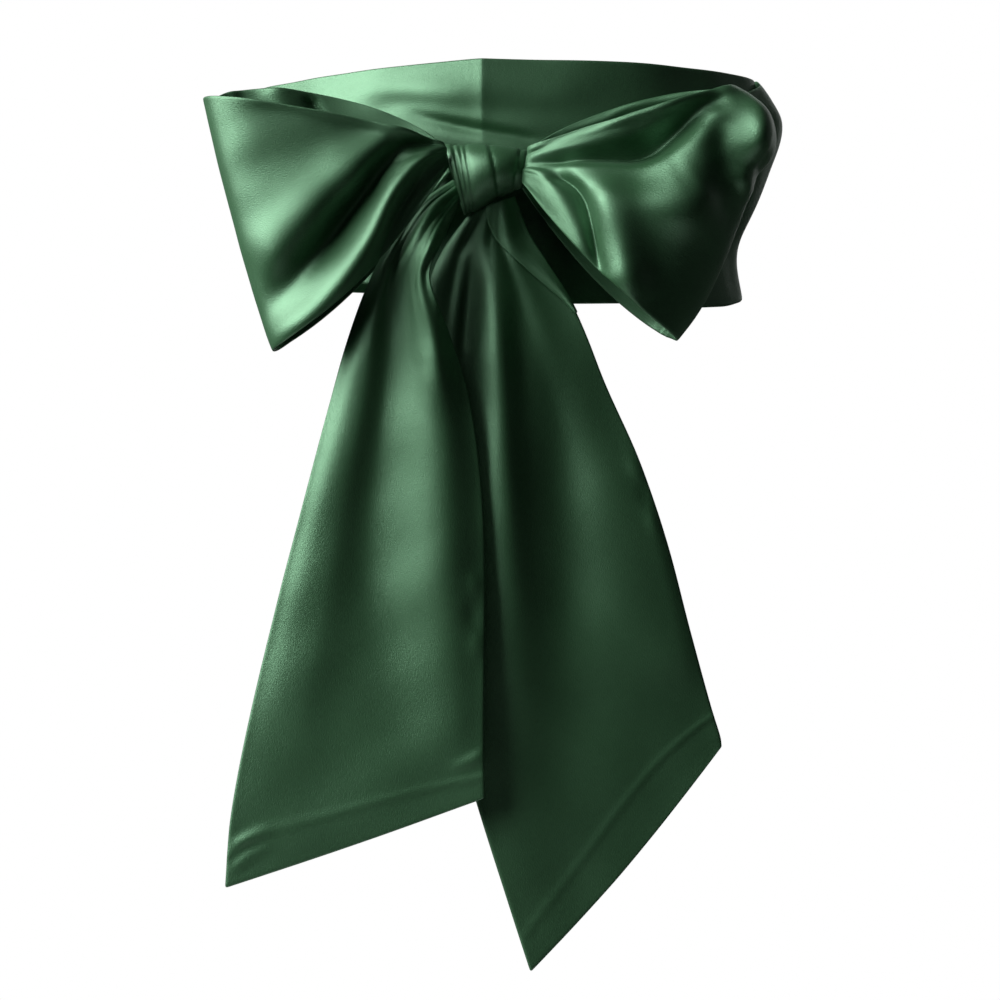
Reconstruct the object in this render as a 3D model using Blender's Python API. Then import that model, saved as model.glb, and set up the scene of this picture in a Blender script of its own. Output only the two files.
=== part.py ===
"""A satin sash, wound twice round a waist and tied in a bow in front, as thin walls of cloth.

One straight strip, made double and seamed at its middle, gives every stretch: two band halves from the seam
round to the back, the second turn over them, two loops, the knot and two tails with slanted ends.
The waist's middle is the origin, +Z is up and the bow looks along -Y. Tables are in millimetres.
"""

import bisect
import math

import bmesh
import bpy
from mathutils import Vector

MM = 0.001
CLOTH = 1.2                     # the doubled satin, pressed
SEAM_GAP = 0.3                  # between stretches that touch

WAIST_DEPTH = 93.0              # from the middle of the waist to the band in front
TILT = math.radians(5.0)        # the band stands higher behind than in front
ROLL = 0.018                    # and higher on the right than on the left
SEAM_ANGLE = -5.0               # the strip's middle seam, round from the front
RING_STEP = 6.0                 # degrees between the ring's sections
CREASE_ANGLE = math.radians(40.0)   # sharper edges than this aren't smoothed

LOOP_FOLD_RISE = 0.3            # a loop's fold rises and fades over these stretches of the turn
LOOP_FOLD_FADE = 0.25
LOOP_FOLD_SPREAD = 0.5          # and is this much wider at the knot than at the outer fold
TAIL_FOLD_RISE = 0.22           # a tail's fold is full height this far down
TAIL_FOLD_HOLD = 0.4            # and starts to fade at this share of its length

SATIN_LIGHT = (0.062, 0.165, 0.093, 1.0)
SATIN_DEEP = (0.042, 0.120, 0.066, 1.0)


def table(columns, *rows):
    """Rows of numbers with their columns' names."""
    names = columns.split()
    return [dict(zip(names, row)) for row in rows]


# Half breadth of each layer round the waist, by height above its middle, left and right.
INNER_LAYER = table(
    "height left right",
    (-70, 128, 127),
    (-38, 127, 126),
    (-26, 128, 127.5),
    (5, 134, 138),
    (33, 137, 143),
    (64, 136, 137),
)
OUTER_LAYER = table(
    "height left right",
    (-70, 131, 132),
    (-51, 130, 129.6),
    (-37, 130.2, 130),
    (-26, 132, 133),
    (5, 137, 147),
    (33, 141, 154),
    (48, 140, 148.5),
    (57, 139.5, 142),
    (64, 139, 138.5),
)

# Edges of the band round from the front: height above the waist's middle.
BAND_EDGES = table(
    "angle top bottom",
    (-180, 58, -60),
    (-110, 57, -59),
    (-74, 57, -58),
    (-37, 61, -54),
    (-12, 63.2, -62),
    (-5, 63.4, -63.5),
    (26, 61.5, -65),
    (57, 58.5, -65),
    (110, 57, -62),
    (180, 58, -60),
)

# Edges of the second turn, from the knot's left side round the back (0) to its right side,
# and how far it stands forward of the band there.
TURN_EDGES = table(
    "angle top bottom forward",
    (-168, 9, -12, 4),
    (-162, 14, -22, 3),
    (-153, 22, -36, 1.5),
    (-140, 34, -51, 0.5),
    (-124, 43, -54, 0),
    (-100, 50, -58, 0),
    (-60, 57, -63, 0),
    (0, 60, -61, 0),
    (60, 59.5, -63, 0),
    (90, 58, -64, 0),
    (104, 54.5, -66, 0),
    (120, 48, -68, 0),
    (140, 36, -66, 0.5),
    (152, 26, -54, 1.5),
    (162, 17, -34, 3),
    (174, 7, -8, 4),
)

# Spokes of each loop, by place across the strip from its lower hem (0) to its upper hem (1): where the spoke
# leaves the knot, where it turns at the outer fold, its rise half way, and the back layer's further rise.
LEFT_SPOKES = table(
    "across root_x root_z fold_x fold_z rise back",
    (0.00, -28.6, -6.6, -116.5, -99.0, -13, 5),
    (0.10, -28.9, -5.6, -121.5, -86.5, -10, 4),
    (0.25, -29.4, -3.4, -128, -66.0, -6, 2),
    (0.50, -30.3, 0.0, -137, -33.5, -1, 3),
    (0.75, -31.1, 2.8, -145, -2.5, 2, 8),
    (1.00, -31.9, 5.6, -152.2, 28.5, 1.5, 16),
)
RIGHT_SPOKES = table(
    "across root_x root_z fold_x fold_z rise back",
    (0.00, 8.5, -14.6, 87, -93.5, -9, 1),
    (0.06, 8.8, -13.6, 96, -82.0, -8, 1),
    (0.17, 9.1, -12.0, 105, -66.8, -6, 1),
    (0.34, 9.6, -9.2, 114.5, -44.3, -3, 0),
    (0.50, 10.0, -6.4, 122, -22.5, 0, 0),
    (0.62, 10.3, -4.2, 124.5, -9.0, 1, 0),
    (0.74, 10.7, -2.0, 132, 3.0, 3, 1),
    (0.86, 11.1, 0.6, 131, 19.0, 5, 3),
    (0.94, 11.4, 2.4, 123, 29.0, 5, 4),
    (1.00, 11.7, 3.6, 116, 34.0, 5, 5),
)

# Depth of a loop by its turn: front layer from the knot (0) to the outer fold (1), back layer on to the
# knot (2).
LEFT_LOOP_DEPTH = table(
    "turn depth",
    (0.00, -130),
    (0.20, -142),
    (0.35, -153),
    (0.50, -160),
    (0.70, -155),
    (0.85, -143),
    (1.00, -127),
    (1.15, -113),
    (1.30, -105),
    (1.50, -101),
    (1.70, -103),
    (1.85, -107),
    (2.00, -112),
)
RIGHT_LOOP_DEPTH = table(
    "turn depth",
    (0.00, -130),
    (0.20, -143),
    (0.35, -154),
    (0.50, -159),
    (0.70, -152),
    (0.85, -139),
    (1.00, -122),
    (1.15, -107),
    (1.30, -100),
    (1.50, -99),
    (1.70, -102),
    (1.85, -106),
    (2.00, -112),
)

# Folds of the loops: place across the strip at the knot, half way and at the outer fold, half width, height
# (valleys below 0), and the stretch of the turn it runs through.
LOOP_FOLD = "knot middle fold width height start end"
LEFT_LOOP_FOLDS = table(
    LOOP_FOLD,
    (0.97, 0.74, 0.36, 0.20, 5.0, 0.10, 0.95),
    (0.93, 0.47, 0.16, 0.11, -9.0, 0.08, 0.88),
    (0.70, 0.15, 0.05, 0.08, 6.0, 0.04, 0.92),
    (0.38, -0.02, -0.14, 0.07, -5.0, 0.04, 0.60),
    (1.00, 0.97, 0.92, 0.06, -3.0, 0.10, 0.80),
    (0.70, 0.72, 0.70, 0.15, -4.0, 1.15, 1.90),
    (0.30, 0.34, 0.38, 0.15, 4.0, 1.15, 1.90),
)
RIGHT_LOOP_FOLDS = table(
    LOOP_FOLD,
    (0.95, 0.93, 0.95, 0.06, 3.0, 0.05, 0.80),
    (0.82, 0.78, 0.84, 0.07, -9.0, 0.06, 0.72),
    (0.74, 0.60, 0.62, 0.11, 6.0, 0.08, 0.90),
    (0.60, 0.22, 0.10, 0.08, 7.0, 0.05, 0.85),
    (0.44, 0.08, -0.04, 0.07, -7.0, 0.05, 0.60),
    (0.30, -0.06, -0.16, 0.10, 5.0, 0.04, 0.50),
    (0.52, 0.40, 0.34, 0.12, -4.0, 0.20, 0.90),
    (0.68, 0.70, 0.66, 0.15, -4.0, 1.15, 1.90),
    (0.28, 0.32, 0.36, 0.15, 4.0, 1.15, 1.90),
)

# Sections of the tails, down from the knot: left and right edge, depth of the cloth between its folds.
# Near the knot their middle stands forward of their edges.
LEFT_TAIL_SECTIONS = table(
    "down left_x left_z right_x right_z depth round",
    (0.00, -26.2, -10.5, -22.8, -21.5, -116, 4),
    (0.05, -44, -24, -27.5, -33, -121, 9),
    (0.11, -58, -44, -32.5, -47, -124, 9),
    (0.18, -69.5, -66, -37.5, -64, -127, 7),
    (0.26, -79.5, -93, -28, -91, -129, 4),
    (0.36, -88.5, -124, -18, -124, -129, 2),
    (0.50, -102, -174, -12, -168, -128, 0),
    (0.64, -115.5, -225, -10.4, -212, -127, 0),
    (0.80, -130, -285, -10.6, -262, -126, 0),
    (0.92, -139.5, -335, -10.8, -300, -125, 0),
    (1.00, -142.4, -371.0, -10.4, -324.5, -124, 0),
)
RIGHT_TAIL_SECTIONS = table(
    "down left_x left_z right_x right_z depth round",
    (0.00, -19.0, -28.6, 4.5, -18.6, -114, 3),
    (0.05, -30, -46, 12, -37, -112, 5),
    (0.11, -33, -64, 22, -54, -112, 4),
    (0.17, -33.5, -88, 33, -72, -112, 3),
    (0.22, -33, -106, 41, -89.5, -112, 2),
    (0.30, -32, -134, 51, -114.5, -112, 1),
    (0.40, -32, -172, 68, -152.5, -111, 0),
    (0.52, -32, -218, 83, -196, -110, 0),
    (0.65, -30.5, -264, 95, -241, -110, 0),
    (0.80, -18, -318, 106, -280, -109, 0),
    (0.92, 1.0, -379, 110.8, -295.5, -108, 0),
    (1.00, 12.7, -415, 111.6, -301, -108, 0),
)
LEFT_HEM_BELLY = 0.8            # the slanted hems bow downwards by this
RIGHT_HEM_BELLY = 4.5
# The right tail's edge turned over to the front near the knot: its width there as a share of the tail's.
TURNED_EDGE = table(
    "down share",
    (0.00, 0.62),
    (0.05, 0.40),
    (0.11, 0.20),
    (0.16, 0.09),
    (0.19, 0.05),
)
TURNED_EDGE_RISE = 2.0          # its middle stands this much further forward

# Folds of the tails: place across at the knot, at a third of the way and at the hem, half width, height
# towards the front, and where down the tail it fades out.
TAIL_FOLD = "knot third hem width height end"
LEFT_TAIL_FOLDS = table(
    TAIL_FOLD,
    (0.15, 0.12, 0.08, 0.09, 4.0, 0.90),
    (0.30, 0.32, 0.28, 0.11, -4.0, 0.55),
    (0.44, 0.48, 0.45, 0.08, 3.0, 0.40),
    (0.58, 0.60, 0.62, 0.09, -5.0, 0.60),
    (0.76, 0.80, 0.84, 0.11, 8.0, 0.85),
    (0.98, 1.00, 1.02, 0.09, -6.0, 0.75),
)
RIGHT_TAIL_FOLDS = table(
    TAIL_FOLD,
    (0.10, 0.08, 0.05, 0.10, -4.0, 0.45),
    (0.38, 0.37, 0.30, 0.09, 6.0, 0.80),
    (0.56, 0.56, 0.50, 0.10, -6.0, 0.75),
    (0.70, 0.74, 0.78, 0.10, 3.0, 0.90),
)
# The knot, from its left end to its right end: its middle, half height, half depth and its ends' lean.
KNOT_SECTIONS = table(
    "along x z tall deep lean",
    (-1.0, -26.2, -11.0, 18.4, 16.5, -0.29),
    (-0.5, -18.0, -9.8, 17.0, 20.0, -0.18),
    (0.0, -8.5, -7.7, 14.4, 21.6, -0.05),
    (0.5, 1.2, -6.4, 12.0, 20.0, 0.06),
    (1.0, 9.2, -5.5, 10.0, 15.5, 0.16),
)
KNOT_DEPTH = -116.0
# The outline of half the knot: place along and fullness, from the dish in its end over the rim.
KNOT_OUTLINE = table(
    "polar along fullness",
    (0, 0.86, 0.00),
    (30, 0.88, 0.52),
    (48, 0.99, 0.86),
    (60, 0.97, 0.97),
    (75, 0.50, 1.00),
    (90, 0.00, 1.02),
)
# Pleats of the wrapped strip round the knot: place along it, half width and depth of the groove between
# pleats.
KNOT_PLEATS = table(
    "along width depth",
    (-0.86, 0.07, 0.9),
    (-0.68, 0.06, 0.8),
    (-0.50, 0.06, 0.8),
    (0.22, 0.07, 0.7),
)


def read(rows, key, place):
    """Each column's value at a place along the key column, on a smooth curve through the rows."""
    keys = [row[key] for row in rows]
    place = min(max(place, keys[0]), keys[-1])
    i = min(bisect.bisect_right(keys, place) - 1, len(rows) - 2)
    step = keys[i + 1] - keys[i]
    t = (place - keys[i]) / step
    before, after = max(i - 1, 0), min(i + 2, len(rows) - 1)
    values = {}
    for name in rows[0]:
        start, end = rows[i][name], rows[i + 1][name]
        slope_in = (end - rows[before][name]) / (keys[i + 1] - keys[before]) * step
        slope_out = (rows[after][name] - start) / (keys[after] - keys[i]) * step
        values[name] = (
            (2 * t**3 - 3 * t**2 + 1) * start
            + (t**3 - 2 * t**2 + t) * slope_in
            + (3 * t**2 - 2 * t**3) * end
            + (t**3 - t**2) * slope_out
        )
    return values


def ease(start, end, value):
    """From 0 at start to 1 at end, flat at both."""
    t = min(max((value - start) / (end - start), 0.0), 1.0)
    return t * t * (3 - 2 * t)


def through(first, middle, last, t):
    """The parabola through three values at 0, a half and 1."""
    return first * (1 - t) * (1 - 2 * t) + middle * 4 * t * (1 - t) + last * t * (2 * t - 1)


def hump(place, centre, width):
    return math.exp(-(((place - centre) / width) ** 2))


def ring_point(layer, depth, angle, height):
    """A point of a layer round the waist, at an angle from the front."""
    turn = math.radians(angle)
    side = "right" if angle > 0 else "left"
    x = read(layer, "height", height)[side] * math.sin(turn)
    y = -depth * math.cos(turn)
    return Vector((x, y, height + y * math.tan(TILT) + ROLL * x))


def band_point(angle, across):
    edges = read(BAND_EDGES, "angle", angle)
    height = edges["bottom"] + (edges["top"] - edges["bottom"]) * across
    return ring_point(INNER_LAYER, WAIST_DEPTH, angle, height)


def turn_point(angle, across):
    """The second turn: its angle is counted from the back, so its two ends are at the knot."""
    edges = read(TURN_EDGES, "angle", angle)
    height = edges["bottom"] + (edges["top"] - edges["bottom"]) * across
    depth = WAIST_DEPTH + CLOTH + SEAM_GAP + edges["forward"]
    around = 180 - angle if angle > 0 else -180 - angle
    return ring_point(OUTER_LAYER, depth, around, height)


def loop_base(spokes, depths, turn, across):
    """The loop without its folds: a spoke out to the outer fold and back in the other layer."""
    spoke = read(spokes, "across", across)
    out = (1 - math.cos(math.pi * turn)) / 2
    arch = max(4 * out * (1 - out), 0.0)
    rise = spoke["rise"] * arch + spoke["back"] * ease(1.0, 1.2, turn) * arch**0.6
    x = spoke["root_x"] + (spoke["fold_x"] - spoke["root_x"]) * out
    z = spoke["root_z"] + (spoke["fold_z"] - spoke["root_z"]) * out + rise
    return Vector((x, read(depths, "turn", turn)["depth"], z))


def loop_point(spokes, depths, folds, turn, across):
    """The loop with its folds raised along the cloth's own normal."""
    step = 0.01
    along = loop_base(spokes, depths, turn + step, across) - loop_base(spokes, depths, turn - step, across)
    up = loop_base(spokes, depths, turn, across + step) - loop_base(spokes, depths, turn, across - step)
    normal = along.cross(up).normalized()
    if spokes[0]["fold_x"] > 0:
        normal.negate()
    out = (1 - math.cos(math.pi * turn)) / 2
    lift = 0.0
    for fold in folds:
        centre = through(fold["knot"], fold["middle"], fold["fold"], out)
        risen = ease(fold["start"], fold["start"] + LOOP_FOLD_RISE, turn)
        faded = ease(fold["end"] - LOOP_FOLD_FADE, fold["end"], turn)
        width = fold["width"] * (1 + LOOP_FOLD_SPREAD * (1 - out))
        lift += fold["height"] * risen * (1 - faded) * hump(across, centre, width)
    return loop_base(spokes, depths, turn, across) - normal * lift


def tail_point(sections, folds, belly, down, across):
    """A tail: straight across between its edges, its folds raised to the front and fading to the hem."""
    row = read(sections, "down", down)
    arch = math.sin(math.pi * across)
    x = row["left_x"] + (row["right_x"] - row["left_x"]) * across
    z = row["left_z"] + (row["right_z"] - row["left_z"]) * across - belly * arch * ease(0.8, 1.0, down)
    y = row["depth"] - row["round"] * arch
    for fold in folds:
        centre = through(fold["knot"], fold["third"], fold["hem"], down**0.63)
        risen = ease(0.0, TAIL_FOLD_RISE, down)
        faded = ease(fold["end"] * TAIL_FOLD_HOLD, fold["end"], down)
        y -= fold["height"] * risen * (1 - faded) * hump(across, centre, fold["width"])
    return Vector((x, y, z))


def turned_point(along, over):
    """The turned edge of the right tail: the tail's own points from its edge inwards, moved to the front."""
    down = TURNED_EDGE[-1]["down"] * along
    share = read(TURNED_EDGE, "down", down)["share"]
    point = tail_point(RIGHT_TAIL_SECTIONS, RIGHT_TAIL_FOLDS, RIGHT_HEM_BELLY, down, 1 - share * over)
    point.y -= CLOTH + 2 * SEAM_GAP + TURNED_EDGE_RISE * math.sin(math.pi * over)
    return point


def satin(name, colour):
    material = bpy.data.materials.new(name)
    material.use_nodes = True
    shader = material.node_tree.nodes["Principled BSDF"]
    shader.inputs["Base Color"].default_value = colour
    shader.inputs["Roughness"].default_value = 0.38
    shader.inputs["Metallic"].default_value = 0.0
    shader.inputs["Sheen Weight"].default_value = 0.3
    return material


def finish(name, mesh, material):
    mesh.shade_smooth()
    mesh.set_sharp_from_angle(angle=CREASE_ANGLE)
    piece = bpy.data.objects.new(name, mesh)
    bpy.context.scene.collection.objects.link(piece)
    mesh.materials.append(material)
    return piece


def cut_along_fold(face, places, shape):
    """Cut a square in two along the diagonal that lies closer to the cloth, so folds run clean."""
    a, b, c, d = face.verts
    middle = [(places[a][i] + places[c][i]) / 2 for i in (0, 1)]
    true = shape(*middle) * MM
    first_off = ((a.co + c.co) / 2 - true).length
    second_off = ((b.co + d.co) / 2 - true).length
    ends = (a, c) if first_off < second_off else (b, d)
    bmesh.utils.face_split(face, *ends)


def sheet(name, shape, columns, rows, material):
    """A wall of cloth: a flat grid whose points the shape moves, given the cloth's thickness."""
    bm = bmesh.new()
    bmesh.ops.create_grid(bm, x_segments=columns, y_segments=rows, size=0.5)
    places = {vert: (vert.co.x + 0.5, vert.co.y + 0.5) for vert in bm.verts}
    for vert, place in places.items():
        vert.co = shape(*place) * MM
    for face in list(bm.faces):
        cut_along_fold(face, places, shape)
    mesh = bpy.data.meshes.new(name)
    bm.to_mesh(mesh)
    bm.free()
    piece = finish(name, mesh, material)
    wall = piece.modifiers.new("Wall", "SOLIDIFY")
    wall.thickness = CLOTH * MM
    wall.offset = 0.0
    return piece


def knot(name, material):
    """The knot's wrapped barrel, from a sphere whose poles are its dished ends."""
    bm = bmesh.new()
    bmesh.ops.create_uvsphere(bm, u_segments=24, v_segments=24, radius=1.0)
    for vert in bm.verts:
        polar = math.degrees(math.acos(min(max(vert.co.z, -1.0), 1.0)))
        outline = read(KNOT_OUTLINE, "polar", min(polar, 180 - polar))
        along = outline["along"] * (1 if polar < 90 else -1)
        around = math.atan2(vert.co.y, vert.co.x)
        section = read(KNOT_SECTIONS, "along", along)
        groove = sum(pleat["depth"] * hump(along, pleat["along"], pleat["width"]) for pleat in KNOT_PLEATS)
        full = outline["fullness"]
        rise = math.sin(around) * (section["tall"] - groove) * full
        vert.co = Vector((
            section["x"] + section["lean"] * rise,
            KNOT_DEPTH + math.cos(around) * (section["deep"] - groove) * full,
            section["z"] + rise,
        )) * MM
    bmesh.ops.recalc_face_normals(bm, faces=bm.faces)
    mesh = bpy.data.meshes.new(name)
    bm.to_mesh(mesh)
    bm.free()
    return finish(name, mesh, material)


for leftover in list(bpy.data.objects):
    bpy.data.objects.remove(leftover)

light = satin("satin_band", SATIN_LIGHT)
deep = satin("satin_bow", SATIN_DEEP)

seam = math.degrees(SEAM_GAP / 2 / WAIST_DEPTH)
sheet(
    "band_left",
    lambda along, across: band_point((SEAM_ANGLE - seam) * (1 - along) - (180 - seam) * along, across),
    columns=round(180 / RING_STEP),
    rows=6,
    material=light,
)
sheet(
    "band_right",
    lambda along, across: band_point((SEAM_ANGLE + seam) * (1 - along) + (180 - seam) * along, across),
    columns=round(180 / RING_STEP),
    rows=6,
    material=light,
)
first, last = TURN_EDGES[0]["angle"], TURN_EDGES[-1]["angle"]
sheet(
    "wrap_outer",
    lambda along, across: turn_point(first + (last - first) * along, across),
    columns=round((last - first) / RING_STEP),
    rows=8,
    material=light,
)
sheet(
    "loop_left",
    lambda along, across: loop_point(LEFT_SPOKES, LEFT_LOOP_DEPTH, LEFT_LOOP_FOLDS, 2 * along, across),
    columns=28,
    rows=22,
    material=deep,
)
sheet(
    "loop_right",
    lambda along, across: loop_point(RIGHT_SPOKES, RIGHT_LOOP_DEPTH, RIGHT_LOOP_FOLDS, 2 * along, across),
    columns=28,
    rows=22,
    material=deep,
)
knot("knot", deep)
sheet(
    "tail_left",
    lambda across, up: tail_point(LEFT_TAIL_SECTIONS, LEFT_TAIL_FOLDS, LEFT_HEM_BELLY, 1 - up, across),
    columns=24,
    rows=20,
    material=deep,
)
sheet(
    "tail_right",
    lambda across, up: tail_point(RIGHT_TAIL_SECTIONS, RIGHT_TAIL_FOLDS, RIGHT_HEM_BELLY, 1 - up, across),
    columns=24,
    rows=20,
    material=deep,
)
sheet("tail_right_turned_edge", turned_point, columns=8, rows=4, material=deep)
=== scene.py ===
import math

import bmesh
import bpy
import numpy as np
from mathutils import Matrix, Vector


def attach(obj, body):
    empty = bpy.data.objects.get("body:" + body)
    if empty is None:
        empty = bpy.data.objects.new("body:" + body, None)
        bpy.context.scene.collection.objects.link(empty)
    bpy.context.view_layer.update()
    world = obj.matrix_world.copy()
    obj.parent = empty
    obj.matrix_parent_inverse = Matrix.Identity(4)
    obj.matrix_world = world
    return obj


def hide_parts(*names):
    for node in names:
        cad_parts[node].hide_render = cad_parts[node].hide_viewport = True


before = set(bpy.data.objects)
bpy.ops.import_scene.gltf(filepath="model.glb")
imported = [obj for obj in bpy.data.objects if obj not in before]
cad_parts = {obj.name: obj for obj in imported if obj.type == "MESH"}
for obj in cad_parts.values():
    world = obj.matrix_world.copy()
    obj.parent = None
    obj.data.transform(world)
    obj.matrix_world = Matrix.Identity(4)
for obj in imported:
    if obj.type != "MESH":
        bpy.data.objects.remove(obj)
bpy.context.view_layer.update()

# ---------------------------------------------------------------------------
# The band round the waist. One long strip of satin, made double by sewing it into a tube and turning it, so
# its long edges are soft folds with no stitching. Its two halves are joined by a seam, which sits in front
# a little left of the middle, and run round both sides to cross behind the wearer.
# ---------------------------------------------------------------------------
MM = 0.001                      # every table below is in millimetres
CLOTH = 0.0011                  # both layers of the tube, pressed, in metres
STRIP = 0.127                   # the strip's width, in metres

WAIST_DEPTH = 93.0              # from the middle of the waist to the band in front
TILT = math.radians(5.0)        # the band stands higher behind than in front
ROLL = 0.018                    # and higher on the right than on the left
SEAM_ANGLE = -5.0               # the centre seam, in degrees round from the front


def table(columns, *rows):
    """Rows of numbers, kept as one array for each named column."""
    return dict(zip(columns.split(), np.array(rows, float).T))


def read(rows, at):
    """Each column's values at places along the first column, on a smooth curve through the rows."""
    names = list(rows)
    keys = rows[names[0]]
    at = np.clip(at, keys[0], keys[-1])
    i = np.clip(np.searchsorted(keys, at, side="right") - 1, 0, len(keys) - 2)
    before, after = np.maximum(i - 1, 0), np.minimum(i + 2, len(keys) - 1)
    step = keys[i + 1] - keys[i]
    t = (at - keys[i]) / step
    values = {}
    for name in names[1:]:
        column = rows[name]
        slope_in = (column[i + 1] - column[before]) / (keys[i + 1] - keys[before]) * step
        slope_out = (column[after] - column[i]) / (keys[after] - keys[i]) * step
        values[name] = (
            (2 * t**3 - 3 * t**2 + 1) * column[i]
            + (t**3 - 2 * t**2 + t) * slope_in
            + (3 * t**2 - 2 * t**3) * column[i + 1]
            + (t**3 - t**2) * slope_out
        )
    return values


def ease(start, end, value):
    """From 0 at start to 1 at end, flat at both."""
    t = np.clip((value - start) / (end - start), 0.0, 1.0)
    return t * t * (3 - 2 * t)


FOLD_STEPS = 24                 # places along a fold's line between two of its rows


def fold(x, z, line):
    """How far a soft fold lifts the cloth at points on its face. The fold runs along a line of x and z, with
    a half width to its left and to its right and a rise, below 0 for a trough. An end with a rise of 0 eases
    in or out over one row; any other end is round."""
    rows = len(line["x"])
    steps = np.linspace(0, rows - 1, FOLD_STEPS * (rows - 1) + 1)
    run = read({"row": np.arange(rows, dtype=float), **line}, steps)
    along_x, along_z = np.gradient(run["x"]), np.gradient(run["z"])
    spacing = np.hypot(along_x, along_z)
    along_x, along_z = along_x / spacing, along_z / spacing
    # The nearest place on the line, and how far each point is to its side and beyond its ends.
    off_x, off_z = x[:, None] - run["x"], z[:, None] - run["z"]
    near = np.argmin(off_x**2 + off_z**2, axis=1)
    every = np.arange(len(x))
    off_x, off_z = off_x[every, near], off_z[every, near]
    ahead = (off_x * along_x[near] + off_z * along_z[near]) / spacing[near]
    aside = along_x[near] * off_z - along_z[near] * off_x
    place = np.clip(near + ahead, 0, len(steps) - 1)
    beyond = np.abs(near + ahead - place) * spacing[near]
    order = np.arange(len(steps))
    width = np.where(aside > 0, np.interp(place, order, run["left"]), np.interp(place, order, run["right"]))
    distance = np.hypot(aside, beyond) / width
    starts = ease(0, FOLD_STEPS, order) if line["rise"][0] == 0 else 1.0
    stops = ease(order[-1], order[-1] - FOLD_STEPS, order) if line["rise"][-1] == 0 else 1.0
    return np.interp(place, order, run["rise"] * starts * stops) * np.exp(-(distance**2))


WAVES = 7                       # that add up to the unevenness of handled cloth
GOLDEN_ANGLE = 2.39996          # between their headings, so that no two run the same way


def unevenness(a, b, size, seed):
    """Gentle rises and falls of handled cloth, between about -1 and 1, over lengths around size."""
    total = 0.0
    for wave in range(WAVES):
        heading = seed * 1.7 + wave * GOLDEN_ANGLE
        length = size * (0.75 + 0.13 * wave)
        reach = a * math.cos(heading) + b * math.sin(heading)
        total = total + np.sin(reach * 2 * math.pi / length + seed * 3.1 + wave * 1.3)
    return total / 3.0


# Half breadth of the band, by height above its middle, left and right.
INNER_LAYER = table(
    "height left right",
    (-70, 128, 127),
    (-38, 127, 126),
    (-26, 128, 127.5),
    (5, 134, 138),
    (33, 137, 143),
    (64, 136, 137),
)
# Heights of the band's long edges, by angle round from the front.
BAND_EDGES = table(
    "angle top bottom",
    (-180, 58, -60),
    (-110, 57, -54),
    (-74, 57, -53),
    (-37, 61, -52),
    (-12, 63.2, -62),
    (-5, 63.4, -63.5),
    (26, 61.5, -65),
    (57, 58.5, -65),
    (110, 57, -62),
    (180, 58, -60),
)


def ring(layer, depth, angle, height):
    """Points of a layer round the waist, at angles in degrees from the front."""
    turn = np.radians(angle)
    sides = read(layer, height)
    x = np.where(angle > 0, sides["right"], sides["left"]) * np.sin(turn)
    y = -depth * np.cos(turn)
    return np.stack([x, y, height + y * math.tan(TILT) + ROLL * x], axis=1)


def push_out(points, angle, lift):
    """The points of a layer moved away from the waist."""
    points[:, 0] += lift * np.sin(np.radians(angle))
    points[:, 1] -= lift * np.cos(np.radians(angle))
    return points


def points_of(mesh):
    """A mesh's points, one row for each."""
    points = np.empty(len(mesh.vertices) * 3)
    mesh.vertices.foreach_get("co", points)
    return points.reshape(-1, 3)


def lay_strip(mesh, along, across):
    """Gives a mesh its UV map, from how far along and across the strip each point is, in metres."""
    corners = np.empty(len(mesh.loops), np.int32)
    mesh.loops.foreach_get("vertex_index", corners)
    strip = mesh.uv_layers.new(name="Strip")
    strip.data.foreach_set("uv", np.stack([along, across], axis=1)[corners].ravel())


def into_scene(name, data):
    """A new object in the scene, at the origin."""
    thing = bpy.data.objects.new(name, data)
    bpy.context.scene.collection.objects.link(thing)
    return thing


def cloth(name, columns, rows, shape, length):
    """A stretch of the strip: a flat grid moved into its shape and given the cloth's thickness. Its UV map is
    close to the strip's own length and width in metres, so the weave follows the cloth wherever it goes."""
    bm = bmesh.new()
    bmesh.ops.create_grid(bm, x_segments=columns, y_segments=rows, size=0.5)
    mesh = bpy.data.meshes.new(name)
    bm.to_mesh(mesh)
    bm.free()
    grid = points_of(mesh) + 0.5
    along, across = grid[:, 0], grid[:, 1]
    lay_strip(mesh, along * length, across * STRIP)
    mesh.vertices.foreach_set("co", (shape(along, across) * MM).ravel())
    mesh.shade_smooth()
    piece = into_scene(name, mesh)
    wall = piece.modifiers.new("Thickness", "SOLIDIFY")
    wall.thickness = CLOTH
    wall.offset = 0.0
    soft_edges = piece.modifiers.new("Soft edges", "SUBSURF")
    soft_edges.levels = 1
    soft_edges.render_levels = 1
    return piece


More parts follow.
